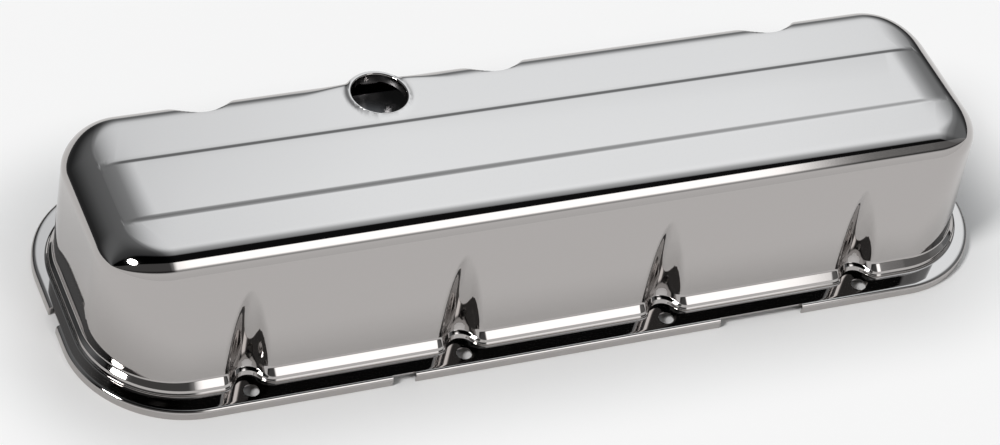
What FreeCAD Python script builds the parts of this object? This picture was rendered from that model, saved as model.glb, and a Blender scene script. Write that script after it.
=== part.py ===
"""Tall stamped steel valve cover for a V8 engine with big cylinder heads.

The cover is one drawn and trimmed sheet. It is built as two skins, an outer one and an
inner one that lies a sheet gauge inside it, and the sheet is what is left between them.
+X runs along the cover, -Y is the side with four bolts, +Y the side with three bolts and
the breather hole, +Z is up. The origin is under the middle of the cover, on the plane that
the lip stands on.
"""
import FreeCAD, Part
import math
import os
import Sketcher
from FreeCAD import Vector

# Driving sizes in millimetres and degrees: alias, value, what it is
SIZES = (
    ("gauge", 1.1, "thickness of the drawn sheet"),
    ("lip_length", 546.0, "over the lip, along the cover"),
    ("lip_width", 178.0, "over the lip, across the cover"),
    ("lip_corner", 62.0, "plan radius of the lip corners"),
    ("flange_level", 5.8, "top of the gasket flange above the foot of the lip"),
    ("bend_radius", 2.2, "outer radius of the bend from flange to lip"),
    ("bead_width", 3.6, "reach of the bead round the cover, out from the wall foot"),
    ("bead_rise", 1.1, "height of the upright side of the bead"),
    ("bead_bevel", 0.65, "bevel along the upper edge of the bead"),
    ("skirt_width", 2.05, "reach of the skirt out from the wall foot"),
    ("skirt_rise", 3.7, "height of the edge of the skirt above the flange"),
    ("slope_run", 5.35, "run of the slope from the edge of the skirt into the wall"),
    ("slope_rise", 4.9, "rise of that slope"),
    ("end_inset", 10.4, "from the lip to the foot of each end wall"),
    ("side_inset", 14.9, "from the lip to the foot of each side wall"),
    ("foot_corner", 50.0, "plan radius of the walls at the foot"),
    ("top_level", 86.4, "height of the top beside the raised panel"),
    ("near_lean", 17.74, "how far the wall with four bolts leans in"),
    ("far_lean", 10.1, "how far the wall with three bolts leans in"),
    ("end_lean", 0.9, "how far each end wall leans in"),
    ("top_corner", 33.0, "plan radius of the walls at the top"),
    ("crown_radius", 16.0, "radius from the walls to the top"),
    ("panel_length", 492.0, "raised panel, over the foot of its ramps"),
    ("panel_width", 47.0, "raised panel, over the foot of its ramps"),
    ("panel_raise", 1.0, "height of the raised panel"),
    ("panel_side_ramp", 4.2, "run of the ramps along the panel"),
    ("panel_end_ramp", 18.0, "run of the ramps at the ends of the panel"),
    ("panel_corner", 8.0, "plan radius of the foot of the panel"),
    ("panel_head_corner", 4.0, "plan radius of the top of the panel"),
    ("near_row", 80.0, "from the middle line to the row of four bolts"),
    ("near_pitch", 122.2, "pitch of the four bolts"),
    ("near_shift", -2.4, "middle of the row of four along the cover"),
    ("far_row", 80.0, "from the middle line to the row of three bolts"),
    ("far_pitch", 172.2, "pitch of the three bolts"),
    ("far_shift", -5.0, "middle of the row of three along the cover"),
    ("bolt_hole", 8.7, "clearance hole for a quarter inch bolt and its washer"),
    ("near_flute_foot", 13.0, "radius of a flute over the four bolts, at the flange"),
    ("near_flute_head", 12.5, "radius of that flute where it runs out"),
    ("near_flute_lean", 6.4, "lean of that flute from upright, in degrees"),
    ("near_flute_rise", 60.0, "height over which that flute narrows"),
    ("far_flute_foot", 17.5, "radius of a flute over the three bolts, at the flange"),
    ("far_flute_head", 22.5, "radius of that flute at the top"),
    ("breather_x", -79.0, "breather hole along the cover"),
    ("breather_y", 45.8, "breather hole across the cover"),
    ("breather_bore", 31.2, "bore of the collar in the breather hole"),
    ("collar_depth", 5.8, "height of the collar turned down round the hole"),
    ("collar_edge", 0.9, "radius where the seat rolls over into the collar"),
    ("seat_radius", 19.6, "round seat for the breather cap"),
    ("seat_raise", 0.5, "height of that seat above the top"),
    ("seat_edge", 3.6, "radius of the outer edge of the seat"),
    ("shoulder_reach", 61.0, "how far the top reaches out beside the breather hole"),
    ("shoulder_radius", 200.0, "plan radius of that fuller stretch of the top"),
    ("shoulder_edge", 6.0, "edge radius of that stretch"),
    ("small_gap_start", -107.8, "start of the small gap in the near lip"),
    ("small_gap_length", 13.4, "length of the small gap in the near lip"),
    ("long_gap_start", 89.2, "start of the long gap in the near lip"),
    ("long_gap_length", 51.8, "length of the long gap in the near lip"),
    ("end_gap_middle", -5.6, "middle of the gap in the lip of the left end"),
    ("end_gap_length", 13.6, "length of the gap in the lip of the left end"),
    ("baffle_gauge", 0.9, "thickness of the baffle sheet"),
    ("baffle_span", 74.0, "width of the baffle channel along the cover, outside"),
    ("baffle_drop", 14.0, "depth of the baffle below the sheet of the top"),
    ("baffle_tab", 12.0, "reach of each welded tab of the baffle"),
    ("baffle_start", 25.0, "near edge of the baffle, from the middle line"),
    ("baffle_reach", 36.0, "size of the baffle floor across the cover"),
    ("baffle_tab_reach", 20.0, "size of the welded tabs across the cover"),
    ("baffle_relief", 8.0, "how far the baffle is cut down beyond its tabs"),
    ("baffle_bend", 2.0, "outer bend radius of the baffle"),
)

NEAR_BOLTS = 4
FAR_BOLTS = 3
CLEAR = 2.0         # how far a cutting tool reaches past what it cuts
RUN_ON = 8.0        # how far a flute's cutting cone runs on above its head
TOUCH = 1e-4        # how near a point counts as lying on a level
UP = Vector(0, 0, 1)
OUTER = "0"         # inset of the outer skin
INNER = "sizes.gauge"

FOOT_X = "(sizes.lip_length / 2 - sizes.end_inset)"
FOOT_Y = "(sizes.lip_width / 2 - sizes.side_inset)"
BEAD_LEVEL = "(sizes.flange_level + sizes.bead_rise)"
SUNK = "(2 * sizes.crown_radius)"   # how deep the discs of the top reach into the walls


def write_sizes(doc):
    """Put the driving sizes in the spreadsheet, each under its alias."""
    sheet = doc.addObject("Spreadsheet::Sheet", "sizes")
    for row, (alias, value, note) in enumerate(SIZES, start=1):
        sheet.set(f"A{row}", note)
        sheet.set(f"B{row}", str(value))
        sheet.setAlias(f"B{row}", alias)
    doc.recompute()
    return sheet


def bind(thing, expressions):
    """Bind properties of a document object to expressions."""
    for path, expression in expressions.items():
        thing.setExpression(path, expression)
    thing.recompute()
    return thing


def value(thing, expression):
    """The number that an expression has at the sizes in the sheet."""
    found = thing.evalExpression(expression)
    return float(getattr(found, "Value", found))


def outline(doc, name, half_x, near, far, corner, level):
    """A rounded rectangle in a sketch at a level, each size bound to an expression."""
    sketch = doc.addObject("Sketcher::SketchObject", name)
    x, low, high, radius = (value(sketch, e) for e in (half_x, near, far, corner))
    corners = ((x, -low), (x, high), (-x, high), (-x, -low))
    inward = ((-1, 1), (-1, -1), (1, -1), (1, 1))
    centres = [Vector(c[0] + d[0] * radius, c[1] + d[1] * radius, 0) for c, d in zip(corners, inward)]
    arcs = []
    for quarter, centre in enumerate(centres):
        start = (quarter - 1) * math.pi / 2
        arcs.append(Part.ArcOfCircle(Part.Circle(centre, UP, radius), start, start + math.pi / 2))
    for quarter, arc in enumerate(arcs):
        before = arcs[quarter - 1]
        sketch.addGeometry(Part.LineSegment(before.EndPoint, arc.StartPoint))
    for arc in arcs:
        sketch.addGeometry(arc)
    for side in range(4):
        straight = "Vertical" if side % 2 else "Horizontal"
        sketch.addConstraint(Sketcher.Constraint(straight, side))
        sketch.addConstraint(Sketcher.Constraint("Tangent", side, 2, 4 + side, 1))
        sketch.addConstraint(Sketcher.Constraint("Tangent", 4 + side, 2, (side + 1) % 4, 1))
    for quarter in range(5, 8):
        sketch.addConstraint(Sketcher.Constraint("Equal", 4, quarter))
    measures = (
        (Sketcher.Constraint("DistanceX", -1, 1, 1, 1, x), half_x),
        (Sketcher.Constraint("DistanceX", 3, 1, -1, 1, x), half_x),
        (Sketcher.Constraint("DistanceY", 0, 1, -1, 1, low), near),
        (Sketcher.Constraint("DistanceY", -1, 1, 2, 1, high), far),
        (Sketcher.Constraint("Radius", 4, radius), corner),
    )
    for constraint, expression in measures:
        index = sketch.addConstraint(constraint)
        sketch.setExpression(f"Constraints[{index}]", expression)
    bind(sketch, {"Placement.Base.z": level})
    return sketch


def loft(doc, name, sections):
    """A straight-sided loft through two sketches."""
    thing = doc.addObject("Part::Loft", name)
    thing.Sections = sections
    thing.Solid = True
    thing.Ruled = True
    thing.Linearize = True
    doc.recompute()
    return thing


def prism(doc, name, sketch, height):
    """A sketch raised to a height."""
    thing = doc.addObject("Part::Extrusion", name)
    thing.Base = sketch
    thing.DirMode = "Custom"
    thing.Dir = UP
    thing.Solid = True
    return bind(thing, {"LengthFwd": height})


def union(doc, name, things):
    """Several objects fused into one."""
    thing = doc.addObject("Part::MultiFuse", name)
    thing.Shapes = things
    thing.Refine = True
    doc.recompute()
    return thing


def difference(doc, name, base, tool):
    """One object cut by another."""
    thing = doc.addObject("Part::Cut", name)
    thing.Base = base
    thing.Tool = tool
    doc.recompute()
    return thing


def rounded(doc, name, base, edges, radius):
    """Edges of an object, given by number, rounded to a radius."""
    thing = doc.addObject("Part::Fillet", name)
    thing.Base = base
    thing.Edges = [(number, radius, radius) for number in edges]
    doc.recompute()
    return thing


def edges_on_level(shape, level):
    """Numbers of the edges that lie wholly on a level."""
    found = []
    for number, edge in enumerate(shape.Edges, start=1):
        box = edge.BoundBox
        if abs(box.ZMin - level) < TOUCH and abs(box.ZMax - level) < TOUCH:
            found.append(number)
    return found


def drawn_box(doc, skin, inset):
    """The walls and the top, with the crown radius between them."""
    foot = outline(
        doc, f"{skin}_foot",
        f"{FOOT_X} - {inset}", f"{FOOT_Y} - {inset}", f"{FOOT_Y} - {inset}",
        f"sizes.foot_corner - {inset}", f"sizes.flange_level - {inset}",
    )
    top = outline(
        doc, f"{skin}_top",
        f"{FOOT_X} - sizes.end_lean - {inset}",
        f"{FOOT_Y} - sizes.near_lean - {inset}",
        f"{FOOT_Y} - sizes.far_lean - {inset}",
        f"sizes.top_corner - {inset}", f"sizes.top_level - {inset}",
    )
    walls = loft(doc, f"{skin}_walls", [foot, top])
    level = value(walls, f"sizes.top_level - {inset}")
    radius = value(walls, f"sizes.crown_radius - {inset}")
    return rounded(doc, f"{skin}_crown", walls, edges_on_level(walls.Shape, level), radius)


def skirt(doc, skin, inset):
    """The bead on the flange and the slope above it, all round the foot of the walls."""
    sheet = f"{inset} / 2"
    head = ("sizes.skirt_width - sizes.slope_run", "sizes.skirt_rise + sizes.slope_rise")
    steps = [("sizes.bead_width", "0"), ("sizes.skirt_width", "sizes.skirt_rise"), head]
    if inset == OUTER:
        bevel = ("sizes.bead_width - sizes.bead_bevel", "sizes.bead_rise + sizes.bead_bevel")
        steps[1:1] = [("sizes.bead_width", "sizes.bead_rise"), bevel]
    sections = []
    for number, (reach, rise) in enumerate(steps, start=1):
        out = f"{reach} - {sheet}"
        sections.append(outline(
            doc, f"{skin}_skirt_{number}",
            f"{FOOT_X} + {out}", f"{FOOT_Y} + {out}", f"{FOOT_Y} + {out}",
            f"sizes.foot_corner + {out}", f"sizes.flange_level + {rise} - {inset}",
        ))
    return loft(doc, f"{skin}_skirt", sections)


def raised_panel(doc, skin, inset):
    """The long raised panel in the middle of the top, with a ramp on every side."""
    half_x, half_y = "sizes.panel_length / 2", "sizes.panel_width / 2"
    foot = outline(
        doc, f"{skin}_panel_foot", half_x, half_y, half_y, "sizes.panel_corner",
        f"sizes.top_level - {inset}",
    )
    head = outline(
        doc, f"{skin}_panel_head",
        f"{half_x} - sizes.panel_end_ramp",
        f"{half_y} - sizes.panel_side_ramp", f"{half_y} - sizes.panel_side_ramp",
        "sizes.panel_head_corner", f"sizes.top_level + sizes.panel_raise - {inset}",
    )
    return loft(doc, f"{skin}_panel", [foot, head])


def breather_seat(doc, skin, inset):
    """The round seat under the breather cap, with its rounded outer edge."""
    disc = doc.addObject("Part::Cylinder", f"{skin}_seat_disc")
    bind(disc, {
        "Radius": f"sizes.seat_radius - {inset}",
        "Height": SUNK,
        "Placement.Base.x": "sizes.breather_x",
        "Placement.Base.y": "sizes.breather_y",
        "Placement.Base.z": f"sizes.top_level + sizes.seat_raise - {inset} - {SUNK}",
    })
    rim = edges_on_level(disc.Shape, value(disc, f"sizes.top_level + sizes.seat_raise - {inset}"))
    return rounded(doc, f"{skin}_seat", disc, rim, value(disc, f"sizes.seat_edge - {inset}"))


def shoulder(doc, skin, inset):
    """The fuller stretch of the top's far edge, on both sides of the breather hole."""
    disc = doc.addObject("Part::Cylinder", f"{skin}_shoulder_disc")
    bind(disc, {
        "Radius": f"sizes.shoulder_radius - {inset}",
        "Height": SUNK,
        "Placement.Base.x": "sizes.breather_x",
        "Placement.Base.y": "sizes.shoulder_reach - sizes.shoulder_radius",
        "Placement.Base.z": f"sizes.top_level - {inset} - {SUNK}",
    })
    rim = edges_on_level(disc.Shape, value(disc, f"sizes.top_level - {inset}"))
    edge = rounded(doc, f"{skin}_shoulder_edge", disc, rim, value(disc, f"sizes.shoulder_edge - {inset}"))
    half = doc.addObject("Part::Box", f"{skin}_far_half")
    bind(half, {
        "Length": "2 * sizes.shoulder_radius",
        "Width": "sizes.lip_width",
        "Height": "sizes.top_level",
        "Placement.Base.x": "sizes.breather_x - sizes.shoulder_radius",
    })
    kept = doc.addObject("Part::Common", f"{skin}_shoulder")
    kept.Base = edge
    kept.Tool = half
    doc.recompute()
    return kept


def upright_hole(doc, name, along, across, diameter, low, high):
    """A round cutter between two levels."""
    cutter = doc.addObject("Part::Cylinder", name)
    return bind(cutter, {
        "Radius": f"{diameter} / 2",
        "Height": f"{high} - ({low})",
        "Placement.Base.x": along,
        "Placement.Base.y": across,
        "Placement.Base.z": low,
    })


def flute(doc, name, along, row, foot, head, rise, lean, inset):
    """One tapered flute that clears a bolt and its spanner."""
    cone = doc.addObject("Part::Cone", name)
    cone.Placement.Rotation = FreeCAD.Rotation(Vector(1, 0, 0), 1)
    taper = f"({head} - {foot}) / ({rise})"
    bind(cone, {
        "Radius1": f"{foot} + {inset} - {taper} * {CLEAR}",
        "Radius2": f"{head} + {inset} + {taper} * {RUN_ON}",
        "Height": f"{rise} + {CLEAR} + {RUN_ON}",
        "Placement.Rotation.Angle": lean,
        "Placement.Base.x": along,
        "Placement.Base.y": row,
        "Placement.Base.z": f"sizes.flange_level - {inset} - {CLEAR}",
    })
    return cone


def flute_rows():
    """Name, count, shift, pitch, row and cone sizes of the flutes on each side."""
    near = (
        "sizes.near_flute_foot", "sizes.near_flute_head", "sizes.near_flute_rise", "-sizes.near_flute_lean")
    far = ("sizes.far_flute_foot", "sizes.far_flute_head", "(sizes.top_level - sizes.flange_level)", "0")
    return (
        ("near", NEAR_BOLTS, "sizes.near_shift", "sizes.near_pitch", "-sizes.near_row", near),
        ("far", FAR_BOLTS, "sizes.far_shift", "sizes.far_pitch", "sizes.far_row", far),
    )


def flutes(doc, skin, inset):
    """All seven flutes of one skin, each on a smaller pocket that the bead runs round."""
    cones, pockets = [], []
    level = f"({BEAD_LEVEL} - {inset})"
    for side, count, shift, pitch, row, (foot, head, rise, lean) in flute_rows():
        for number in range(count):
            along = f"{shift} + {number - (count - 1) / 2} * {pitch}"
            name = f"{skin}_{side}_flute_{number + 1}"
            cones.append(flute(doc, name, along, row, foot, head, rise, lean, inset))
            pockets.append(upright_hole(
                doc, f"{name}_pocket", along, row, f"(2 * ({foot} - sizes.bead_width + {inset}))",
                f"sizes.flange_level - {inset} - {CLEAR}", f"{level} + {CLEAR}",
            ))
    above = doc.addObject("Part::Box", f"{skin}_above_bead")
    bind(above, {
        "Length": "sizes.lip_length",
        "Width": "2 * sizes.lip_width",
        "Height": "2 * sizes.top_level",
        "Placement.Base.x": "-sizes.lip_length / 2",
        "Placement.Base.y": "-sizes.lip_width",
        "Placement.Base.z": level,
    })
    upper = doc.addObject("Part::Common", f"{skin}_flutes_above_bead")
    upper.Base = union(doc, f"{skin}_flute_cones", cones)
    upper.Tool = above
    doc.recompute()
    return union(doc, f"{skin}_flutes", [upper] + pockets)


def flange(doc, skin, inset):
    """The gasket flange and the lip, as a plate with its upper edge rounded."""
    below = OUTER if inset == OUTER else f"{CLEAR}"
    plan = outline(
        doc, f"{skin}_flange_plan",
        f"sizes.lip_length / 2 - {inset}",
        f"sizes.lip_width / 2 - {inset}", f"sizes.lip_width / 2 - {inset}",
        f"sizes.lip_corner - {inset}", f"-{below}",
    )
    plate = prism(doc, f"{skin}_flange_plate", plan, f"sizes.flange_level - {inset} + {below}")
    rim = edges_on_level(plate.Shape, value(plate, f"sizes.flange_level - {inset}"))
    return rounded(doc, f"{skin}_flange", plate, rim, value(plate, f"sizes.bend_radius - {inset}"))


def drawn_skin(doc, skin, inset):
    """One whole skin of the sheet: walls, top, flutes, skirt, flange and lip."""
    edge = union(doc, f"{skin}_edge", [shoulder(doc, skin, inset), breather_seat(doc, skin, inset)])
    full = union(doc, f"{skin}_full", [drawn_box(doc, skin, inset), edge])
    hat = union(doc, f"{skin}_hat", [full, skirt(doc, skin, inset), raised_panel(doc, skin, inset)])
    fluted = difference(doc, f"{skin}_fluted_hat", hat, flutes(doc, skin, inset))
    return union(doc, f"{skin}_skin", [fluted, flange(doc, skin, inset)])


def bolt_holes(doc):
    """Cutters for the clearance holes in both flanges."""
    low, high = f"sizes.flange_level - sizes.gauge - {CLEAR}", f"sizes.flange_level + {CLEAR}"
    cutters = []
    for side, count, shift, pitch, row, _ in flute_rows():
        for number in range(count):
            along = f"{shift} + {number - (count - 1) / 2} * {pitch}"
            name = f"{side}_bolt_hole_{number + 1}"
            cutters.append(upright_hole(doc, name, along, row, "sizes.bolt_hole", low, high))
    return cutters


def lip_gap(doc, name, low_x, length_x, low_y, length_y):
    """A cutter that trims the lip away up to the flat of the flange."""
    box = doc.addObject("Part::Box", name)
    return bind(box, {
        "Length": length_x,
        "Width": length_y,
        "Height": f"sizes.flange_level + 2 * {CLEAR}",
        "Placement.Base.x": low_x,
        "Placement.Base.y": low_y,
        "Placement.Base.z": f"-{CLEAR}",
    })


def lip_gaps(doc):
    """Cutters for the three gaps in the lip."""
    strip = f"sizes.bend_radius + {CLEAR}"
    near_y = f"-sizes.lip_width / 2 - {CLEAR}"
    end_x = f"-sizes.lip_length / 2 - {CLEAR}"
    end_y = "sizes.end_gap_middle - sizes.end_gap_length / 2"
    return [
        lip_gap(doc, "small_lip_gap", "sizes.small_gap_start", "sizes.small_gap_length", near_y, strip),
        lip_gap(doc, "long_lip_gap", "sizes.long_gap_start", "sizes.long_gap_length", near_y, strip),
        lip_gap(doc, "end_lip_gap", end_x, strip, end_y, "sizes.end_gap_length"),
    ]


def cover_shell(doc):
    """The drawn sheet: what lies between the skins, with its collar, holes and gaps."""
    sheet = difference(doc, "drawn_sheet", drawn_skin(doc, "outer", OUTER), drawn_skin(doc, "inner", INNER))
    place = ("sizes.breather_x", "sizes.breather_y")
    seat_top = "sizes.top_level + sizes.seat_raise"
    collar = upright_hole(
        doc, "collar", *place, "(sizes.breather_bore + 2 * sizes.gauge)",
        f"{seat_top} - sizes.collar_depth", f"{seat_top}",
    )
    bore = upright_hole(
        doc, "collar_bore", *place, "sizes.breather_bore",
        f"{seat_top} - sizes.collar_depth - {CLEAR}", f"{seat_top} + {CLEAR}",
    )
    collared = union(doc, "collared_sheet", [sheet, collar])
    cutters = union(doc, "holes_and_gaps", [bore] + bolt_holes(doc) + lip_gaps(doc))
    pierced = difference(doc, "pierced_sheet", collared, cutters)
    level = value(collar, seat_top)
    radius = value(collar, "sizes.breather_bore / 2")
    mouth = [
        number for number in edges_on_level(pierced.Shape, level)
        if abs(pierced.Shape.Edges[number - 1].BoundBox.XLength / 2 - radius) < TOUCH
    ]
    shell = rounded(doc, "cover_shell", pierced, mouth, value(collar, "sizes.collar_edge"))
    shell.Label = "valve_cover_shell"
    return shell


def origin_plane(body, role):
    """One of the planes at the origin of a body."""
    return next(plane for plane in body.Origin.OriginFeatures if plane.Role == role)


def sketch_on(body, role, name):
    """An empty sketch on an origin plane of its own body."""
    sketch = body.newObject("Sketcher::SketchObject", name)
    sketch.AttachmentSupport = [(origin_plane(body, role), "")]
    sketch.MapMode = "FlatFace"
    return sketch


def closed_lines(sketch, points):
    """Straight lines from point to point, joined end to end."""
    count = len(points)
    for number, point in enumerate(points):
        sketch.addGeometry(Part.LineSegment(point, points[(number + 1) % count]))
    for number in range(count):
        sketch.addConstraint(Sketcher.Constraint("Coincident", number, 2, (number + 1) % count, 1))


def measure(sketch, constraint, expression):
    """Add a dimension and bind it to an expression."""
    index = sketch.addConstraint(constraint)
    sketch.setExpression(f"Constraints[{index}]", expression)


def baffle_section(body):
    """The section of the baffle: a channel with a tab at the top of each side."""
    sketch = sketch_on(body, "XZ_Plane", "baffle_section")
    half, gauge, tab, drop = (value(sketch, e) for e in (
        "sizes.baffle_span / 2", "sizes.baffle_gauge", "sizes.baffle_tab", "sizes.baffle_drop"))
    right = (
        (half, -drop), (half, -gauge), (half + tab, -gauge), (half + tab, 0),
        (half - gauge, 0), (half - gauge, gauge - drop),
    )
    left = tuple((-x, z) for x, z in reversed(right))
    closed_lines(sketch, [Vector(x, z, 0) for x, z in right + left])
    for number, straight in enumerate(("Vertical", "Horizontal", "Vertical", "Horizontal", "Vertical")):
        sketch.addConstraint(Sketcher.Constraint(straight, number))
    for number in range(len(right)):
        mirror = len(right + left) - 1 - number
        sketch.addConstraint(Sketcher.Constraint("Symmetric", number, 1, mirror, 1, -2))
    sketch.addConstraint(Sketcher.Constraint("PointOnObject", 3, 1, -1))
    measure(sketch, Sketcher.Constraint("DistanceX", -1, 1, 0, 1, half), "sizes.baffle_span / 2")
    measure(sketch, Sketcher.Constraint("DistanceX", 1, 1, 2, 1, tab), "sizes.baffle_tab")
    measure(sketch, Sketcher.Constraint("DistanceX", 4, 1, 0, 1, gauge), "sizes.baffle_gauge")
    measure(sketch, Sketcher.Constraint("DistanceY", 2, 1, 3, 1, gauge), "sizes.baffle_gauge")
    measure(sketch, Sketcher.Constraint("DistanceY", 0, 1, 5, 1, gauge), "sizes.baffle_gauge")
    measure(sketch, Sketcher.Constraint("DistanceY", 0, 1, -1, 1, drop), "sizes.baffle_drop")
    return sketch


def baffle_relief(body):
    """The rectangle in plan over which the far part of the baffle is cut lower."""
    sketch = sketch_on(body, "XY_Plane", "baffle_relief")
    wide = f"(sizes.baffle_span / 2 + sizes.baffle_tab + {CLEAR})"
    start, end = "sizes.baffle_tab_reach", f"(sizes.baffle_reach + {CLEAR})"
    half, low, high = (value(sketch, e) for e in (wide, start, end))
    closed_lines(sketch, [Vector(x, y, 0) for x, y in ((-half, low), (half, low), (half, high), (-half, high))])
    for number in range(4):
        straight = "Vertical" if number % 2 else "Horizontal"
        sketch.addConstraint(Sketcher.Constraint(straight, number))
    measure(sketch, Sketcher.Constraint("DistanceX", -1, 1, 1, 1, half), wide)
    measure(sketch, Sketcher.Constraint("DistanceX", 3, 1, -1, 1, half), wide)
    measure(sketch, Sketcher.Constraint("DistanceY", -1, 1, 0, 1, low), start)
    measure(sketch, Sketcher.Constraint("DistanceY", -1, 1, 2, 1, high), end)
    return sketch


def edges_along(shape, corners):
    """Names of the edges that run across the cover through given corners of the section."""
    names = []
    for number, edge in enumerate(shape.Edges, start=1):
        box = edge.BoundBox
        straight = box.XLength < TOUCH and box.ZLength < TOUCH
        if straight and any(abs(abs(box.XMin) - x) < TOUCH and abs(box.ZMin - z) < TOUCH for x, z in corners):
            names.append(f"Edge{number}")
    return names


def splash_baffle(doc):
    """The pressed tray that is welded under the breather hole."""
    body = doc.addObject("PartDesign::Body", "splash_baffle")
    body.Label = "splash_baffle"
    pad = body.newObject("PartDesign::Pad", "baffle_channel")
    pad.Profile = baffle_section(body)
    pad.Reversed = True
    bind(pad, {"Length": "sizes.baffle_reach"})
    doc.recompute()
    whole = pad.Shape.Volume
    pocket = body.newObject("PartDesign::Pocket", "baffle_low_side")
    pocket.Profile = baffle_relief(body)
    bind(pocket, {"Length": "sizes.baffle_relief"})
    doc.recompute()
    if pocket.Shape.Volume >= whole:
        raise RuntimeError("the relief of the baffle cuts nothing")
    half, gauge, drop = (value(body, e) for e in (
        "sizes.baffle_span / 2", "sizes.baffle_gauge", "sizes.baffle_drop"))
    last = pocket
    bends = (
        ("outer_bends", ((half, -drop), (half - gauge, 0)), "sizes.baffle_bend"),
        ("inner_bends", ((half, -gauge), (half - gauge, gauge - drop)), "sizes.baffle_bend - sizes.baffle_gauge"),
    )
    for name, corners, radius in bends:
        bend = body.newObject("PartDesign::Fillet", name)
        bend.Base = (last, edges_along(last.Shape, corners))
        bind(bend, {"Radius": radius})
        doc.recompute()
        last = bend
    bind(body, {
        "Placement.Base.x": "sizes.breather_x",
        "Placement.Base.y": "sizes.baffle_start",
        "Placement.Base.z": "sizes.top_level - sizes.gauge",
    })
    return body


def check(doc, nodes):
    """Stop if any object failed, or if a sub-part is not one sound solid."""
    failed = [thing.Name for thing in doc.Objects if {"Invalid", "Error"} & set(thing.State)]
    if failed:
        raise RuntimeError(f"failed objects: {failed}")
    for node in nodes:
        shape = node.Shape
        if shape.isNull() or not shape.isValid() or len(shape.Solids) != 1:
            raise RuntimeError(f"{node.Label} is not one sound solid")


def main():
    """Build the document, check it and write each sub-part."""
    doc = FreeCAD.newDocument("valve_cover")
    write_sizes(doc)
    nodes = [cover_shell(doc), splash_baffle(doc)]
    doc.recompute()
    check(doc, nodes)
    os.makedirs("parts", exist_ok=True)
    for node in nodes:
        node.Shape.exportStep(f"parts/{node.Label}.step")
        box = node.Shape.BoundBox
        print(node.Label, round(node.Shape.Volume), [round(v, 2) for v in (
            box.XMin, box.XMax, box.YMin, box.YMax, box.ZMin, box.ZMax)])


main()
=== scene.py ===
import math

import bpy
import numpy as np
from mathutils import Matrix, Vector


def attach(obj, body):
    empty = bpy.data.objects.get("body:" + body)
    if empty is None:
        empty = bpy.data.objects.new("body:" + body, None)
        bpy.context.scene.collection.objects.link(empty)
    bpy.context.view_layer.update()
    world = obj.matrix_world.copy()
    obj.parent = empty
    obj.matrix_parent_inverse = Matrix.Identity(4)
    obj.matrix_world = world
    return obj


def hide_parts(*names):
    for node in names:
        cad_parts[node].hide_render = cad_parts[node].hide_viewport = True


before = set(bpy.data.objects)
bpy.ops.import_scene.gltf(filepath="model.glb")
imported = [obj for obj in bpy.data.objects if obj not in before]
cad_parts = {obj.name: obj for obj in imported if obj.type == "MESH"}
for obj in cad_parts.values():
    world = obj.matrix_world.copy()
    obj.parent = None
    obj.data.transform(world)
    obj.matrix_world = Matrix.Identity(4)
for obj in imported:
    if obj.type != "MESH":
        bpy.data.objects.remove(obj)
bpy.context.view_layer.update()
MM = 0.001

# Sizes of the drawn sheet, in millimetres
GAUGE = 1.1
FLANGE = 5.8                            # top of the flange
TOP = 86.4                              # flat of the top
LIP = (273.0, 89.0, 89.0, 62.0)         # half length, near and far half width, corner radius
FOOT = (262.6, 74.1, 74.1, 50.0)        # walls at the level of the flange
HEAD = (261.7, 56.36, 64.0, 33.0)       # walls carried up to the level of the top
BEND = 2.2                              # flange to lip
CROWN = 16.0                            # walls to top
PANEL = (244.8, 23.5, 23.5, 8.0)        # foot of the raised panel
PANEL_TOP = (228.0, 19.3, 19.3, 4.0)
PANEL_RAISE = 1.0
PANEL_RUN_IN = (252.0, 228.0)           # along the cover it rises between these
DROOP = (226.0, 262.0, 4.6)             # the top sinks towards its ends: from, to, by how much

# Bead and skirt at the foot of the walls: reach out from the wall foot, height above the flange
BEAD_FOOT = (3.6, 0.0)
BEAD_SIDE = (3.6, 1.2)
BEAD_TOP = (2.8, 2.05)
SKIRT_EDGE = (2.3, 3.3)
SLOPE = (5.2, 4.9)                      # run and rise of the slope above the skirt's edge
FOOT_RADII = (0.5, 0.3, 0.3, 0.5, 2.0)  # roundings, from the flange up
FLANGE_STRETCH = 2.0                    # flange and wall beyond the profile, which set the
WALL_STRETCH = 10.0                     # directions of its first and last rounding

# Bolt flutes
NEAR_FLUTES = [-2.4 + (i - 1.5) * 122.2 for i in range(4)]
FAR_FLUTES = [-5.0 + (i - 1) * 172.2 for i in range(3)]
BOLT_ROW = 80.0
BOLT_HOLE = 4.35                        # radius
NEAR_FLUTE = 9.5                        # radius
NEAR_FLUTE_LINE = (73.0, 0.04)          # middle line: distance from the middle of the cover, lean
NEAR_FLUTE_RUNOUT = (14.0, 3.4)         # below this rise it curves out to its bolt, by how much
NEAR_ROUNDING = 6.0                     # radius where it meets the wall
BEAD_IN_FLUTE = 1.6                     # how far the bead stands out at the foot of a flute
FAR_FLUTE = (17.5, 20.5)                # radius at the flange and at the top
FAR_FLUTE_LEAN = 9.0                    # how far its middle line moves inwards on the way up
FAR_ROUNDING = 5.0
LEAST_ROUNDING = 0.1                    # left where a flute is sunk right in

# Breather hole, its seat and the fuller edge beside it
BREATHER = (-79.0, 45.8)
BORE = 15.6                             # radius
COLLAR_EDGE = 0.9
COLLAR_DEPTH = 5.8
COLLAR_FOOT = 0.2                       # bevels at the foot of the collar
COLLAR_LAP = 0.4                        # how far it reaches out beyond its rolled edge
MOUTH = BORE + COLLAR_EDGE + COLLAR_LAP # radius at which the sheet gives way to the collar
SEAT = (19.6, 0.5, 3.6)                 # radius, height above the top, edge radius
SEAT_SLOPE = 0.7                        # run of the seat's edge, as a share of its radius
SHOULDER = (61.0, 200.0, 6.0)           # reach, plan radius, edge radius
SHOULDER_BLEND = 2.0                    # how softly the fuller edge leaves the wall
SEAT_BLEND = 1.5                        # and how softly the seat leaves that edge

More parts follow.
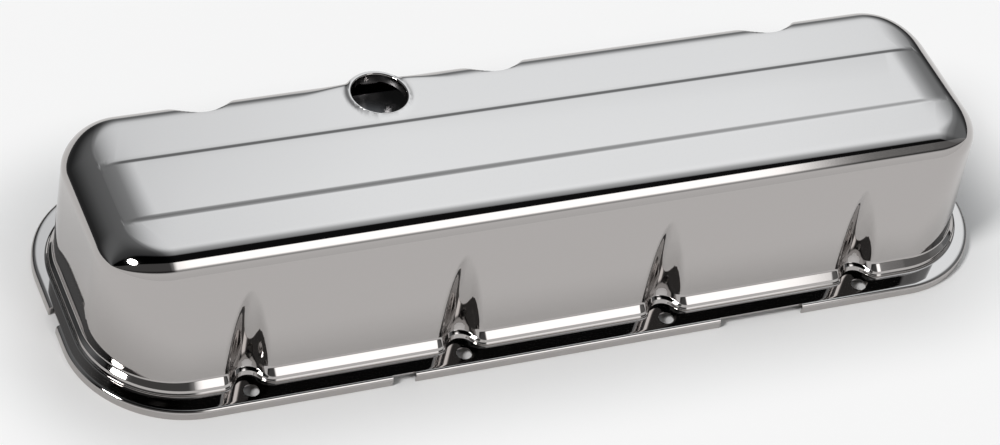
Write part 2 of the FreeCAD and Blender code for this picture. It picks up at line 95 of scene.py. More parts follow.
# Gaps in the lip: low x, high x, low y, high y
LIP_GAPS = ((-107.8, -94.4, -91.0, -86.8),
            (89.2, 141.0, -91.0, -86.8),
            (-275.0, -270.8, -12.4, 1.2))

# Stations round the cover
FIXED_REACH = 208.0     # those along the sides keep their place within this of the middle
STRAIGHT_REF = 220.0    # and the others are spread from there to the corner
END_SHARES = (0.34, 0.67, 1.0)
PITCHES = (6.0, 5.0)    # near and far side
NEAR_OFFSETS = (0, 1.6, 3.2, 4.8, 6.2, 7.4, 8.5, 9.5, 10.4, 11.2, 11.9, 12.5, 13.0, 13.5, 14.0,
                14.5, 15.1, 15.9, 17.0, 18.6, 20.6, 23.0)
FAR_OFFSETS = (0, 2.5, 5.0, 7.3, 9.4, 11.2, 12.6, 13.7, 14.6, 15.4, 16.1, 16.8, 17.4, 18.0,
               18.8, 19.8, 21.2, 23.2, 26.0)
SEAT_OFFSETS = tuple(np.round(np.arange(0, 23, 1.5), 2))
LEAST_PITCH = 0.25
CORNER_STEPS = 26
END_STEPS = 18

# Rings up the cover
LIP_FOOT = 0.25         # bevel at the foot of the lip
LIP_MIDDLE = 1.8
BEND_RINGS = 8
FLANGE_SHARES = (0.15, 0.3, 0.45, 0.6, 0.75, 0.88, 0.96)
EDGE_ARC = 2            # steps in the roundings of the foot profile
WALL_ARC = 4            # and in the last one, into the wall
STRAIGHT_SHARES = (0.12, 0.88)
WALL_RINGS = 24
CROWN_RINGS = 20
FLAT_RINGS = 13
RAMP_RINGS = 8
INNER_RINGS = (2, 4, 7, 9, 11, 13, 15, 17, 18, 20)      # rings that the inner skin follows
INNER_FROM = 30         # from here on it follows every other one

# Round cuts and the collar
HOLE_STEPS = 48
MOUTH_STEPS = 128
COLLAR_STEPS = 160
COLLAR_ARC = 8
HOLE_SPAN = (2.0, 10.0)                 # levels between which each cutter reaches
GAP_SPAN = (-2.0, FLANGE + 4.0)
MOUTH_SPAN = (TOP - 8, TOP + 8)
SHARP_ANGLE = 30                        # edges past this many degrees stay sharp
BISECTIONS = 40


def smooth_step(x):
    """A step from 0 to 1 with level ends."""
    t = np.clip(x, 0.0, 1.0)
    return t * t * (3 - 2 * t)


def smooth_max(a, b, k):
    """The larger of a and b, blended where they differ by less than k."""
    h = np.clip(0.5 + 0.5 * (a - b) / k, 0.0, 1.0)
    return b + (a - b) * h + k * h * (1 - h)


def side_stations(centres, offsets, pitch):
    """Places along a side: fine steps round each centre and an even pitch between."""
    fine = sorted({round(c + s * o, 3) for c in centres for o in offsets for s in (-1, 1)})
    places = [v for v in fine if abs(v) < FIXED_REACH]
    filled = [-FIXED_REACH]
    for place in places + [FIXED_REACH]:
        gap = place - filled[-1]
        count = max(1, int(round(gap / pitch))) if gap > pitch else 1
        start = filled[-1]
        filled += [start + gap * (i + 1) / count for i in range(count)]
    ends = [FIXED_REACH + (STRAIGHT_REF - FIXED_REACH) * share for share in END_SHARES]
    return np.array([-e for e in reversed(ends)] + filled + ends)


class Stations:
    """The upright sections round the cover, counter-clockwise from the near left."""

    def __init__(self):
        near = side_stations(NEAR_FLUTES, NEAR_OFFSETS, PITCHES[0])
        far = np.unique(np.concatenate([
            side_stations(FAR_FLUTES, FAR_OFFSETS, PITCHES[1]),
            BREATHER[0] + np.array(SEAT_OFFSETS), BREATHER[0] - np.array(SEAT_OFFSETS)]))
        far = far[np.concatenate([[True], np.diff(far) > LEAST_PITCH])][::-1]
        corner = (np.arange(CORNER_STEPS) + 1) / (CORNER_STEPS + 1)
        end = np.linspace(0, 1, END_STEPS)
        side, place = [], []
        for number, places in enumerate((near, corner, end, corner, far, corner, end, corner)):
            side += [number] * len(places)
            place += list(places)
        self.side = np.array(side)
        self.place = np.array(place)
        self.near = self.side == 0
        self.far = self.side == 4
        quarter = {1: -90.0, 3: 0.0, 5: 90.0, 7: 180.0}
        still = {0: -90.0, 2: 0.0, 4: 90.0, 6: 180.0}
        angle = [still[s] if s in still else quarter[s] + 90.0 * p for s, p in zip(side, place)]
        self.angle = np.radians(angle)
        self.normal = np.stack([np.cos(self.angle), np.sin(self.angle)], 1)

    def outline(self, half_x, near, far, radius):
        """The station points on a rounded rectangle."""
        points = np.zeros((len(self.side), 2))
        straight = half_x - radius
        low, high = -near + radius, far - radius
        stretch = (straight - FIXED_REACH) / (STRAIGHT_REF - FIXED_REACH)
        beyond = np.abs(self.place) - FIXED_REACH
        moved = np.sign(self.place) * (FIXED_REACH + beyond * stretch)
        along = np.where(beyond > 0, moved, self.place)
        for number, y in ((0, -near), (4, far)):
            pick = self.side == number
            points[pick, 0] = along[pick]
            points[pick, 1] = y
        for number, x, turn in ((2, half_x, 1), (6, -half_x, -1)):
            pick = self.side == number
            share = self.place[pick] if turn > 0 else 1 - self.place[pick]
            points[pick, 0] = x
            points[pick, 1] = low + (high - low) * share
        for number, x, y in ((1, straight, low), (3, straight, high),
                             (5, -straight, high), (7, -straight, low)):
            pick = self.side == number
            points[pick] = np.array([x, y]) + radius * self.normal[pick]
        return points


S = Stations()
COUNT = len(S.side)


def blend_outline(share):
    """The wall outline at a share of the way from the foot to the level of the top."""
    foot, head = S.outline(*FOOT), S.outline(*HEAD)
    return foot + (head - foot) * share[:, None]


def wall_lean():
    """The lean of the wall at each station, in radians."""
    run = -np.einsum("ij,ij->i", S.outline(*HEAD) - S.outline(*FOOT), S.normal)
    return np.arctan2(run, TOP - FLANGE)


LEAN = wall_lean()


def wall_at(z):
    """Wall points at a level given for each station."""
    return blend_outline((z - FLANGE) / (TOP - FLANGE))


def near_flute(rise):
    """Radius, middle line as y and rounding of a near flute, at heights above the flange."""
    away, lean = NEAR_FLUTE_LINE
    reach, out = NEAR_FLUTE_RUNOUT
    runout = out * np.clip(1 - rise / reach, 0.0, 1.0) ** 2
    return np.full_like(rise, NEAR_FLUTE), lean * rise - away - runout, NEAR_ROUNDING


def far_flute(rise):
    """The same for a far flute, with y turned round."""
    foot, head = FAR_FLUTE
    share = rise / (TOP - FLANGE)
    return foot + (head - foot) * share, FAR_FLUTE_LEAN * share - BOLT_ROW, FAR_ROUNDING


def hollowed(x, y, centres, radius, middle, rounding):
    """Where a wall at y lies once round flutes are pressed into it."""
    away = np.min(np.abs(x[:, None] - np.array(centres)[None, :]), axis=1)
    left = rounding * (1 - np.clip((y - middle) / radius, 0.0, 1.0))
    blend = np.maximum(left, LEAST_ROUNDING)
    low, high = y.copy(), np.maximum(y, middle + radius) + blend
    for _ in range(BISECTIONS):
        tried = (low + high) / 2
        in_flute = radius - np.hypot(away, tried - middle)
        free = smooth_max(y - tried, in_flute, blend) > 0
        low, high = np.where(free, tried, low), np.where(free, high, tried)
    return high


def with_flutes(points, z, proud):
    """Press the flutes into a ring, leaving the bead proud of them by a given amount."""
    points = points.copy()
    for side, centres, form, turn in ((S.near, NEAR_FLUTES, near_flute, 1),
                                      (S.far, FAR_FLUTES, far_flute, -1)):
        radius, middle, rounding = form(z[side] - FLANGE)
        points[side, 1] = turn * hollowed(
            points[side, 0], turn * points[side, 1], centres,
            radius - proud[side], middle, rounding + proud[side])
    return points


def with_shoulder(points, z):
    """Fill the crown out beside the breather hole and under its seat."""
    points = points.copy()
    far = S.far
    x, level = points[far, 0] - BREATHER[0], z[far]
    reach, plan, edge = SHOULDER
    up = np.clip(level - (TOP - edge), 0, edge)
    radius = plan - edge + np.sqrt(edge ** 2 - up ** 2)
    full = reach - plan + np.sqrt(np.maximum(radius ** 2 - x ** 2, 0))
    y = smooth_max(points[far, 1], full, SHOULDER_BLEND)
    seat, rise, edge = SEAT
    up = np.clip(level - (TOP + rise - edge), 0, edge)
    radius = seat - edge + np.sqrt(edge ** 2 - up ** 2)
    rim = BREATHER[1] + np.sqrt(np.maximum(radius ** 2 - x ** 2, 0))
    disc = np.where(np.abs(x) < radius, rim, 0)
    points[far, 1] = smooth_max(y, disc, SEAT_BLEND)
    return points


def ring(points, z):
    """Points in plan, with their levels."""
    return np.column_stack([points, z])


def rounded_corner(before, corner, after, radius, steps):
    """Points of an arc that rounds a corner of the foot profile, at every station."""
    back, on = before - corner, after - corner
    back = back / np.linalg.norm(back, axis=1, keepdims=True)
    on = on / np.linalg.norm(on, axis=1, keepdims=True)
    half = np.arccos(np.clip(np.einsum("ij,ij->i", back, on), -1, 1)) / 2
    middle = back + on
    middle = middle / np.linalg.norm(middle, axis=1, keepdims=True)
    centre = corner + middle * (radius / np.sin(half))[:, None]
    start = corner + back * (radius / np.tan(half))[:, None] - centre
    sweep = math.pi - 2 * half
    side = np.sign(back[:, 0] * on[:, 1] - back[:, 1] * on[:, 0])
    arc = []
    for step in range(steps + 1):
        turn = -side * sweep * step / steps
        cos, sin = np.cos(turn), np.sin(turn)
        arc.append(centre + np.column_stack([
            start[:, 0] * cos - start[:, 1] * sin, start[:, 0] * sin + start[:, 1] * cos]))
    return arc


def foot_profile():
    """Reach out from the wall foot and height above the flange, from the flange to the wall."""
    lean = np.tan(LEAN)
    run, rise = SLOPE
    share = (SKIRT_EDGE[0] + SKIRT_EDGE[1] * lean) / (run - rise * lean)
    wall_start = np.column_stack([SKIRT_EDGE[0] - run * share, SKIRT_EDGE[1] + rise * share])
    wall_above = wall_start + np.column_stack([-lean, np.ones(COUNT)]) * WALL_STRETCH
    flange_out = (BEAD_FOOT[0] + FLANGE_STRETCH, 0.0)
    fixed = [flange_out, BEAD_FOOT, BEAD_SIDE, BEAD_TOP, SKIRT_EDGE]
    corners = [np.tile(point, (COUNT, 1)) for point in fixed] + [wall_start, wall_above]
    profile = []
    for number, radius in enumerate(FOOT_RADII, start=1):
        steps = WALL_ARC if number == len(FOOT_RADII) else EDGE_ARC
        arc = rounded_corner(*corners[number - 1:number + 2], radius, steps)
        if profile:
            start, end = profile[-1], arc[0]
            profile += [start + (end - start) * part for part in STRAIGHT_SHARES]
        profile += arc
    return profile


def foot_rings():
    """Lip, bend, flange, bead and skirt, from the foot of the lip up."""
    rings = []
    flat = np.full(COUNT, FLANGE)

    def lip_ring(inset, z):
        rings.append(ring(S.outline(*(size - inset for size in LIP)), np.full(COUNT, z)))

    lip_ring(LIP_FOOT, 0.0)
    lip_ring(0.0, LIP_FOOT)
    lip_ring(0.0, LIP_MIDDLE)
    for step in range(BEND_RINGS + 1):
        turn = math.pi / 2 * step / BEND_RINGS
        lip_ring(BEND * (1 - math.cos(turn)), FLANGE - BEND + BEND * math.sin(turn))
    lip_inner = rings[-1][:, :2]

    foot = S.outline(*FOOT)
    rising = []
    for out, up in (part.T for part in foot_profile()):
        points = foot + S.normal * out[:, None]
        above_bead = smooth_step((up - BEAD_TOP[1]) / (SKIRT_EDGE[1] - BEAD_TOP[1]))
        bead = BEAD_IN_FLUTE * (1 - above_bead)
        rising.append(ring(with_flutes(points, FLANGE + up, bead), FLANGE + up))
    bead_foot = rising[0][:, :2]
    for share in FLANGE_SHARES:
        rings.append(ring(lip_inner + (bead_foot - lip_inner) * share, flat))
    return rings + rising


def wall_rings(start):
    """The walls from the skirt to the crown, then the crown up to the flat of the top."""
    rings = []
    flush = np.zeros(COUNT)
    end = TOP - CROWN + CROWN * np.sin(LEAN)
    for step in range(1, WALL_RINGS):
        z = start + (end - start) * step / WALL_RINGS
        points = with_shoulder(with_flutes(wall_at(z), z, flush), z)
        rings.append(ring(points, z))
    tangent = wall_at(end)
    for step in range(CROWN_RINGS + 1):
        turn = LEAN + (math.pi / 2 - LEAN) * step / CROWN_RINGS
        inward = CROWN * (np.cos(LEAN) - np.cos(turn))
        z = TOP - CROWN + CROWN * np.sin(turn)
        points = with_shoulder(tangent - S.normal * inward[:, None], z)
        rings.append(ring(with_flutes(points, z, flush), z))
    return rings


def top_rings(edge):
    """Rings over the top: from the crown to the foot of the raised panel, then up its ramps."""
    rings = []
    panel, head = S.outline(*PANEL), S.outline(*PANEL_TOP)
    flat = np.full(COUNT, TOP)
    for step in range(1, FLAT_RINGS + 1):
        rings.append(ring(edge + (panel - edge) * step / FLAT_RINGS, flat))
    for step in range(1, RAMP_RINGS + 1):
        share = step / RAMP_RINGS
        rings.append(ring(panel + (head - panel) * share, flat))
    return rings


def form_top(points):
    """Raise the long panel in the middle of the top, and let the ends of the top sink."""
    foot, head = PANEL[1], PANEL_TOP[1]
    low, high = PANEL_RUN_IN
    across = smooth_step((foot - np.abs(points[:, 1])) / (foot - head))
    along = smooth_step((low - np.abs(points[:, 0])) / (low - high))
    near_end, end, depth = DROOP
    past = np.clip((np.abs(points[:, 0]) - near_end) / (end - near_end), 0.0, 1.0)
    sunk = depth * past ** 3
    on_top = smooth_step((points[:, 2] - (TOP - CROWN)) / CROWN)
    formed = points.copy()
    formed[:, 2] += (PANEL_RAISE * across * along - sunk) * on_top
    return formed


def lift_seat(points):
    """Raise the seat round the breather hole."""
    radius, rise, edge = SEAT
    away = np.hypot(points[:, 0] - BREATHER[0], points[:, 1] - BREATHER[1])
    on_top = smooth_step(points[:, 2] - (TOP - 1.0))
    lifted = points.copy()
    lifted[:, 2] += rise * smooth_step((radius - away) / (edge * SEAT_SLOPE)) * on_top
    return lifted


def grid_normals(grid):
    """Outward normals on a grid of rings."""
    around = np.roll(grid, -1, axis=1) - np.roll(grid, 1, axis=1)
    across = np.gradient(grid, axis=0)
    normal = np.cross(around, across)
    length = np.linalg.norm(normal, axis=2, keepdims=True)
    return normal / np.maximum(length, 1e-9)


def shell_mesh():
    """The closed drawn sheet, before it is pierced."""
    rings = foot_rings()
    rings += wall_rings(rings[-1][:, 2])
    rings += top_rings(rings[-1][:, :2])
    outer = np.array([form_top(lift_seat(r)) for r in rings])
    normals = grid_normals(outer)
    normals[0] = normals[1] = normals[2]
    keep_rings = list(INNER_RINGS) + list(range(INNER_FROM, len(outer), 2))
    if keep_rings[-1] != len(outer) - 1:
        keep_rings.append(len(outer) - 1)
    keep_stations = np.arange(0, COUNT, 2)
    inner = (outer - GAUGE * normals)[keep_rings][:, keep_stations]
    inner_foot = inner[0].copy()
    inner_foot[:, 2] = 0.0
    inner = np.concatenate([inner_foot[None], inner])

    vertices = [outer.reshape(-1, 3)]
    faces = []
    rows = len(outer)
    for j in range(rows - 1):
        for i in range(COUNT):
            a, b = j * COUNT + i, j * COUNT + (i + 1) % COUNT
            faces.append((a, b, b + COUNT, a + COUNT))
    faces.append(tuple((rows - 1) * COUNT + i for i in range(COUNT)))
    base = rows * COUNT
    vertices.append(inner.reshape(-1, 3))
    half = len(keep_stations)
    for j in range(len(inner) - 1):
        for i in range(half):
            a, b = base + j * half + i, base + j * half + (i + 1) % half
            faces.append((a, a + half, b + half, b))
    last = base + (len(inner) - 1) * half
    faces.append(tuple(last + i for i in reversed(range(half))))
    for i in range(half):
        a, b = base + i, base + (i + 1) % half
        o = keep_stations[i]
        between = [(o + 1) % COUNT, (o + 2) % COUNT] if i < half - 1 else [
            k % COUNT for k in range(o + 1, COUNT + 1)]
        faces.append(tuple([a, b] + list(reversed(between)) + [o]))
    mesh = bpy.data.meshes.new("valve_cover")
    mesh.from_pydata((np.concatenate(vertices) * MM).tolist(), [], faces)
    mesh.validate()
    mesh.update()
    return mesh


def new_object(name, data):
    """An object with a mesh, camera or lamp, in the scene."""
    thing = bpy.data.objects.new(name, data)
    bpy.context.scene.collection.objects.link(thing)
    return thing


def prism_mesh(parts):
    """Several closed prisms in one mesh, each from a plan outline and two levels."""
    vertices, faces = [], []
    for outline, low, high in parts:
        count, base = len(outline), len(vertices)
        vertices += [(x, y, low) for x, y in outline] + [(x, y, high) for x, y in outline]
        faces.append(tuple(base + i for i in reversed(range(count))))
        faces.append(tuple(base + count + i for i in range(count)))
        for i in range(count):
            j = (i + 1) % count
            faces.append((base + i, base + j, base + count + j, base + count + i))
    mesh = bpy.data.meshes.new("cutters")
    mesh.from_pydata([tuple(c * MM for c in v) for v in vertices], [], faces)
    return mesh


def circle(x, y, radius, count):
    """Points on a circle."""
    turns = [2 * math.pi * i / count for i in range(count)]
    return [(x + radius * math.cos(t), y + radius * math.sin(t)) for t in turns]


def cutters():
    """What pierces and trims the sheet: bolt holes, breather hole and gaps in the lip."""
    holes = [(x, -BOLT_ROW) for x in NEAR_FLUTES] + [(x, BOLT_ROW) for x in FAR_FLUTES]
    parts = [(circle(x, y, BOLT_HOLE, HOLE_STEPS), *HOLE_SPAN) for x, y in holes]
    parts.append((circle(*BREATHER, MOUTH, MOUTH_STEPS), *MOUTH_SPAN))
    for x0, x1, y0, y1 in LIP_GAPS:
        parts.append(([(x0, y0), (x1, y0), (x1, y1), (x0, y1)], *GAP_SPAN))
    return prism_mesh(parts)


def pierce(thing):
    """Cut the holes and gaps, and leave the result as the object's own mesh."""
    cutter = new_object("cutters", cutters())
    cut = thing.modifiers.new("pierce", "BOOLEAN")
    cut.operation = "DIFFERENCE"
    cut.solver = "EXACT"
    cut.object = cutter
    graph = bpy.context.evaluated_depsgraph_get()
    mesh = bpy.data.meshes.new_from_object(thing.evaluated_get(graph))
    thing.modifiers.clear()
    thing.data = mesh
    bpy.data.objects.remove(cutter)
    return thing


def revolve(profile, centre, count):
    """A closed profile of radius and level, turned round an upright axis."""
    vertices, faces = [], []
    rows = len(profile)
    for i in range(count):
        turn = 2 * math.pi * i / count
        for radius, z in profile:
            x, y = centre[0] + radius * math.cos(turn), centre[1] + radius * math.sin(turn)
            vertices.append((x * MM, y * MM, z * MM))
    for i in range(count):
        j = (i + 1) % count
        for k in range(rows):
            m = (k + 1) % rows
            faces.append((i * rows + k, j * rows + k, j * rows + m, i * rows + m))
    mesh = bpy.data.meshes.new("collar")
    mesh.from_pydata(vertices, [], faces)
    return mesh


def collar_mesh():
    """The collar turned down round the breather hole, with its rolled mouth."""
    level = TOP + SEAT[1]
    profile = [(MOUTH, level - GAUGE), (MOUTH, level)]
    for step in range(COLLAR_ARC + 1):
        turn = math.pi / 2 * step / COLLAR_ARC
        profile.append((BORE + COLLAR_EDGE - COLLAR_EDGE * math.sin(turn),
                        level - COLLAR_EDGE + COLLAR_EDGE * math.cos(turn)))
    low, out = level - COLLAR_DEPTH, BORE + GAUGE
    profile += [(BORE, low + COLLAR_FOOT), (BORE + COLLAR_FOOT, low),
                (out - COLLAR_FOOT, low), (out, low + COLLAR_FOOT)]
    profile.append((out, level - GAUGE - COLLAR_LAP))
    return revolve(profile, BREATHER, COLLAR_STEPS)


def join(main, others):
    """Take other objects' meshes into the main one."""
    bpy.ops.object.select_all(action="DESELECT")
    for thing in [main] + others:
        thing.select_set(True)
    bpy.context.view_layer.objects.active = main
    bpy.ops.object.join()
    return main


def finish_shading(thing, degrees):
    """Smooth faces with sharp edges past an angle."""
    mesh = thing.data
    mesh.polygons.foreach_set("use_smooth", [True] * len(mesh.polygons))
    mesh.set_sharp_from_angle(angle=math.radians(degrees))
    mesh.update()


def noise(tree, scale, detail, roughness):
    """Noise in the object's own space."""
    place = tree.nodes.new("ShaderNodeTexCoord")
    made = tree.nodes.new("ShaderNodeTexNoise")
    made.inputs["Scale"].default_value = scale
    made.inputs["Detail"].default_value = detail
    made.inputs["Roughness"].default_value = roughness
    tree.links.new(place.outputs["Object"], made.inputs["Vector"])
    return made


def ranged(tree, source, low, high):
    """A source from 0 to 1, spread between two values."""
    made = tree.nodes.new("ShaderNodeMapRange")
    made.inputs["To Min"].default_value = low
    made.inputs["To Max"].default_value = high
    tree.links.new(source, made.inputs["Value"])
    return made.outputs["Result"]


def bump(tree, source, height, under=None):
    """Relief of a height in metres, over an earlier one."""
    made = tree.nodes.new("ShaderNodeBump")
    made.inputs["Strength"].default_value = 1.0
    made.inputs["Distance"].default_value = height
    tree.links.new(source, made.inputs["Height"])
    if under:
        tree.links.new(under, made.inputs["Normal"])
    return made.outputs["Normal"]


def metal(name, colour, rough, waves, grain):
    """A plated or rolled metal: colour, range of roughness, slow waves and fine grain.

    Waves and grain are each a scale and a height in metres.
    """
    material = bpy.data.materials.new(name)
    material.use_nodes = True
    tree = material.node_tree
    shader = tree.nodes["Principled BSDF"]
    shader.inputs["Base Color"].default_value = (*colour, 1)
    shader.inputs["Metallic"].default_value = 1.0
    polish = noise(tree, scale=38.0, detail=3.0, roughness=0.6)
    tree.links.new(ranged(tree, polish.outputs["Fac"], *rough), shader.inputs["Roughness"])
    slow = noise(tree, scale=waves[0], detail=1.0, roughness=0.4)
    fine = noise(tree, scale=grain[0], detail=2.0, roughness=0.5)
    waved = bump(tree, slow.outputs["Fac"], waves[1])
    grained = bump(tree, fine.outputs["Fac"], grain[1], under=waved)
    tree.links.new(grained, shader.inputs["Normal"])
    return material


def chrome():
    return metal("polished_chrome", (0.445, 0.425, 0.415), rough=(0.03, 0.05),
                 waves=(14.0, 0.00004), grain=(900.0, 0.0000006))


# Plated steel with its colour darkened well below its own, as painted shade for the inside of the
# breather hole.
def steel_darkened_for_shade():
    return metal("plated_steel_painted_shade", (0.15, 0.15, 0.155), rough=(0.32, 0.48),
                 waves=(25.0, 0.00005), grain=(700.0, 0.000006))


def camera():
    """The photograph's viewpoint, in metres."""
    place = Vector((-0.6940, -1.1426, 1.2705))
    right = Vector((0.91633, -0.36433, 0.16612))
    down = Vector((-0.14593, -0.69020, -0.70875))
    forward = Vector((0.37288, 0.62521, -0.68562))
    data = bpy.data.cameras.new("camera")
    data.sensor_width = 36.0
    data.sensor_fit = "HORIZONTAL"
    data.lens = 117.18
    data.clip_end = 100.0
    thing = new_object("camera", data)
    turn = Matrix((right, -down, -forward)).transposed().to_4x4()
    thing.matrix_world = Matrix.Translation(place) @ turn
    bpy.context.scene.camera = thing


def floor():
    """A plain pale floor, nearly white further out, with a painted shade round the cover where the
    white fades out by distance; it keeps the real shadow too.
    """
    size = 12.0
    corners = [(-size, -size, 0), (size, -size, 0), (size, size, 0), (-size, size, 0)]
    mesh = bpy.data.meshes.new("floor")
    mesh.from_pydata(corners, [], [(0, 1, 2, 3)])
    thing = new_object("floor", mesh)
    material = bpy.data.materials.new("floor")
    material.use_nodes = True
    tree = material.node_tree
    shader = tree.nodes["Principled BSDF"]
    shader.inputs["Base Color"].default_value = (0.86, 0.855, 0.85, 1)
    shader.inputs["Roughness"].default_value = 0.9
    shader.inputs["Specular IOR Level"].default_value = 0.0
    rays = tree.nodes.new("ShaderNodeLightPath")
    seen = math_node(tree, "MAXIMUM", rays.outputs["Is Camera Ray"], rays.outputs["Is Glossy Ray"])
    seen = math_node(tree, "MAXIMUM", seen, rays.outputs["Is Transmission Ray"])
    white = tree.nodes.new("ShaderNodeEmission")
    white.inputs["Color"].default_value = (1, 1, 1, 1)
    white.inputs["Strength"].default_value = 1.0
    place = tree.nodes.new("ShaderNodeTexCoord")
    split = tree.nodes.new("ShaderNodeSeparateXYZ")
    tree.links.new(place.outputs["Object"], split.inputs["Vector"])
    squares = []
    for axis, reach in zip("XY", SHADE_PAINT_CORE):
        out = math_node(tree, "ABSOLUTE", split.outputs[axis], 0.0)
        beyond = math_node(tree, "MAXIMUM", math_node(tree, "SUBTRACT", out, reach), 0.0)
        squares.append(math_node(tree, "POWER", beyond, 2.0))
    away = math_node(tree, "POWER", math_node(tree, "ADD", *squares), 0.5)
    # The white fades out by distance towards the cover: painted shade on the floor round it, and
    # in the cover's reflections of that floor.
    edge = tree.nodes.new("ShaderNodeMapRange")
    edge.interpolation_type = "SMOOTHSTEP"
    edge.inputs["From Min"].default_value = SHADE_PAINT_FADE[0]
    edge.inputs["From Max"].default_value = SHADE_PAINT_FADE[1]
    edge.inputs["To Max"].default_value = FLOOR_GLOW
    tree.links.new(away, edge.inputs["Value"])
    mixed = tree.nodes.new("ShaderNodeMixShader")
    tree.links.new(math_node(tree, "MULTIPLY", seen, edge.outputs["Result"]), mixed.inputs["Fac"])
    tree.links.new(shader.outputs["BSDF"], mixed.inputs[1])
    tree.links.new(white.outputs["Emission"], mixed.inputs[2])
    tree.links.new(mixed.outputs["Shader"], tree.nodes["Material Output"].inputs["Surface"])
    mesh.materials.append(material)


# Light of the studio by height: degrees up from the back horizon, over the top, to the front one
HALF_TURN = 180
OVERHEAD = ((0, 0.80), (4, 0.42), (8, 0.30), (15, 0.32), (22, 0.58), (30, 1.00), (38, 1.44),
            (46, 1.66), (54, 1.72), (60, 1.54), (66, 1.22), (72, 0.84), (78, 0.66), (84, 0.52),
            (87, 0.30), (89, 0.01), (180, 0.01))
FRONT = ((0, 0.0), (114, 0.0), (116, 2.40), (141, 2.40), (146, 0.75), (149, 0.50), (151, 0.0))
LOW_FRONT = ((0, 0.0), (149, 0.0), (151, 0.50), (154, 0.90), (165, 0.85), (180, 0.82))
# Share of that light by direction along the cover, from the left over the middle to the right
ALONG_OVERHEAD = ((-1.0, 0.12), (-0.5, 0.12), (0.0, 0.14), (0.12, 0.25), (0.20, 0.55),
                  (0.28, 0.87), (0.34, 1.0), (0.45, 1.0), (0.50, 0.92), (0.56, 0.55),
                  (0.64, 0.25), (0.8, 0.14), (1.0, 0.14))
ALONG_FRONT = ((-1.0, 0.04), (0.1, 0.04), (0.18, 0.15), (0.24, 0.75), (0.28, 1.0),
               (0.452, 1.0), (0.462, 0.55), (0.468, 0.27), (0.475, 0.12), (0.50, 0.08),
               (1.0, 0.07))
PEAK = 54.0             # where the overhead light is strongest
SKEW_FROM = 0.35        # right of this its front edge swings forward
SKEW = 92.0             # degrees of swing per unit of direction
OVERHEAD_TINT = (0.95, 1.0, 1.035)
BRIGHTEST = 3.0
SOFT_BOX = (-0.72, -0.17, 0.67)         # direction to it
SOFT_BOX_SPREAD = 15.0                  # degrees across
SOFT_BOX_LIGHT = 2.2
FLOOR_GLOW = 0.75       # share of plain white in what the eye and the mirror see of the floor
SHADE_PAINT_CORE = (0.205, 0.021)              # half sizes of a box under the cover, in metres, round which the floor is painted darker
SHADE_PAINT_FADE = (0.062, 0.135)             # distances from it over which the painted shade round the cover fades into the white


def math_node(tree, operation, first, second):
    """Two sources, or a source and a number, put together."""
    made = tree.nodes.new("ShaderNodeMath")
    made.operation = operation
    for socket, given in zip(made.inputs, (first, second)):
        if isinstance(given, (int, float)):
            socket.default_value = given
        else:
            tree.links.new(given, socket)
    return made.outputs["Value"]


def level_ramp(tree, source, stops, low, high, top, tint=(1.0, 1.0, 1.0)):
    """A ramp of levels over a range of the source, as a colour no brighter than 1."""
    spread = tree.nodes.new("ShaderNodeMapRange")
    spread.inputs["From Min"].default_value = low
    spread.inputs["From Max"].default_value = high
    tree.links.new(source, spread.inputs["Value"])
    ramp = tree.nodes.new("ShaderNodeValToRGB")
    elements = ramp.color_ramp.elements
    while len(elements) > 1:
        elements.remove(elements[-1])
    for number, (place, level) in enumerate(stops):
        share = (place - low) / (high - low)
        stop = elements[0] if number == 0 else elements.new(share)
        stop.position = share
        stop.color = tuple(level / top * t for t in tint) + (1,)
    tree.links.new(spread.outputs["Result"], ramp.inputs["Fac"])
    return ramp.outputs["Color"]


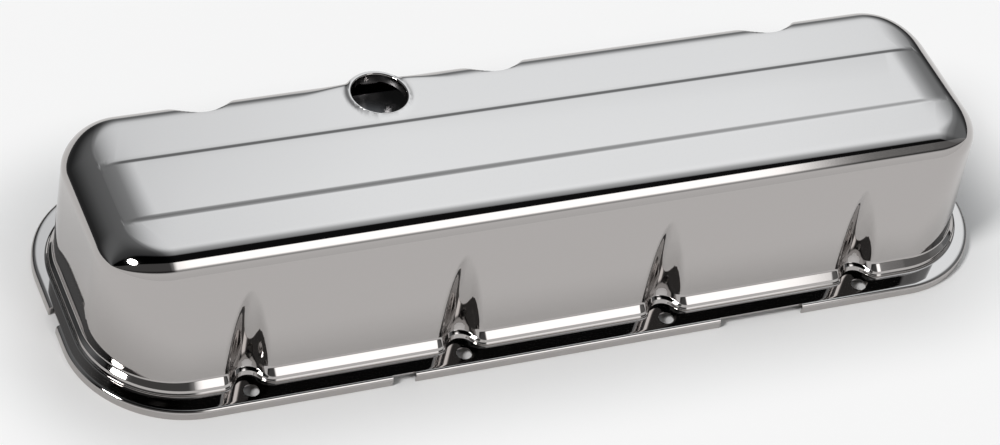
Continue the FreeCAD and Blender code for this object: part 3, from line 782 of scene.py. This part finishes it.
def studio():
    """The light round the cover: soft panels along its length, and a soft box on the left."""
    world = bpy.data.worlds.new("studio")
    bpy.context.scene.world = world
    world.use_nodes = True
    tree = world.node_tree
    background = tree.nodes["Background"]
    place = tree.nodes.new("ShaderNodeTexCoord")
    split = tree.nodes.new("ShaderNodeSeparateXYZ")
    tree.links.new(place.outputs["Generated"], split.inputs["Vector"])
    upward = math_node(tree, "ABSOLUTE", split.outputs["Z"], 0.0)
    height = math_node(tree, "ARCTAN2", upward, split.outputs["Y"])
    degrees = math_node(tree, "MULTIPLY", height, HALF_TURN / math.pi)
    right = math_node(tree, "SUBTRACT", split.outputs["X"], SKEW_FROM)
    swing = math_node(tree, "MULTIPLY", math_node(tree, "MAXIMUM", right, 0.0), SKEW)
    swung = math_node(tree, "MAXIMUM", math_node(tree, "SUBTRACT", degrees, swing), PEAK)
    swung = math_node(tree, "MINIMUM", swung, degrees)
    lit = level_ramp(tree, degrees, LOW_FRONT, 0, HALF_TURN, BRIGHTEST)
    for height, levels, along, tint in ((swung, OVERHEAD, ALONG_OVERHEAD, OVERHEAD_TINT),
                                        (degrees, FRONT, ALONG_FRONT, (1.0, 1.0, 1.0))):
        panel = tree.nodes.new("ShaderNodeVectorMath")
        panel.operation = "MULTIPLY_ADD"
        given = (level_ramp(tree, height, levels, 0, HALF_TURN, BRIGHTEST, tint),
                 level_ramp(tree, split.outputs["X"], along, -1, 1, 1.0), lit)
        for socket, source in zip(panel.inputs, given):
            tree.links.new(source, socket)
        lit = panel.outputs["Vector"]
    tree.links.new(lit, background.inputs["Color"])
    background.inputs["Strength"].default_value = BRIGHTEST

    lamp = bpy.data.lights.new("soft_box", "SUN")
    lamp.energy = SOFT_BOX_LIGHT
    lamp.angle = math.radians(SOFT_BOX_SPREAD)
    thing = new_object("soft_box", lamp)
    thing.rotation_euler = Vector(SOFT_BOX).to_track_quat("Z", "Y").to_euler()


def cover():
    """The drawn, pierced and plated cover."""
    shell = new_object("valve_cover", shell_mesh())
    pierce(shell)
    join(shell, [new_object("collar", collar_mesh())])
    finish_shading(shell, SHARP_ANGLE)
    shell.data.materials.clear()
    shell.data.materials.append(chrome())
    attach(shell, "root")
    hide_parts("valve_cover_shell")


def baffle():
    """The baffle keeps its solid's mesh and gets a plated steel darkened as painted shade."""
    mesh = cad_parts["splash_baffle"].data
    mesh.materials.clear()
    mesh.materials.append(steel_darkened_for_shade())


camera()
cover()
baffle()
floor()
studio()
bpy.context.scene.view_settings.view_transform = "Standard"
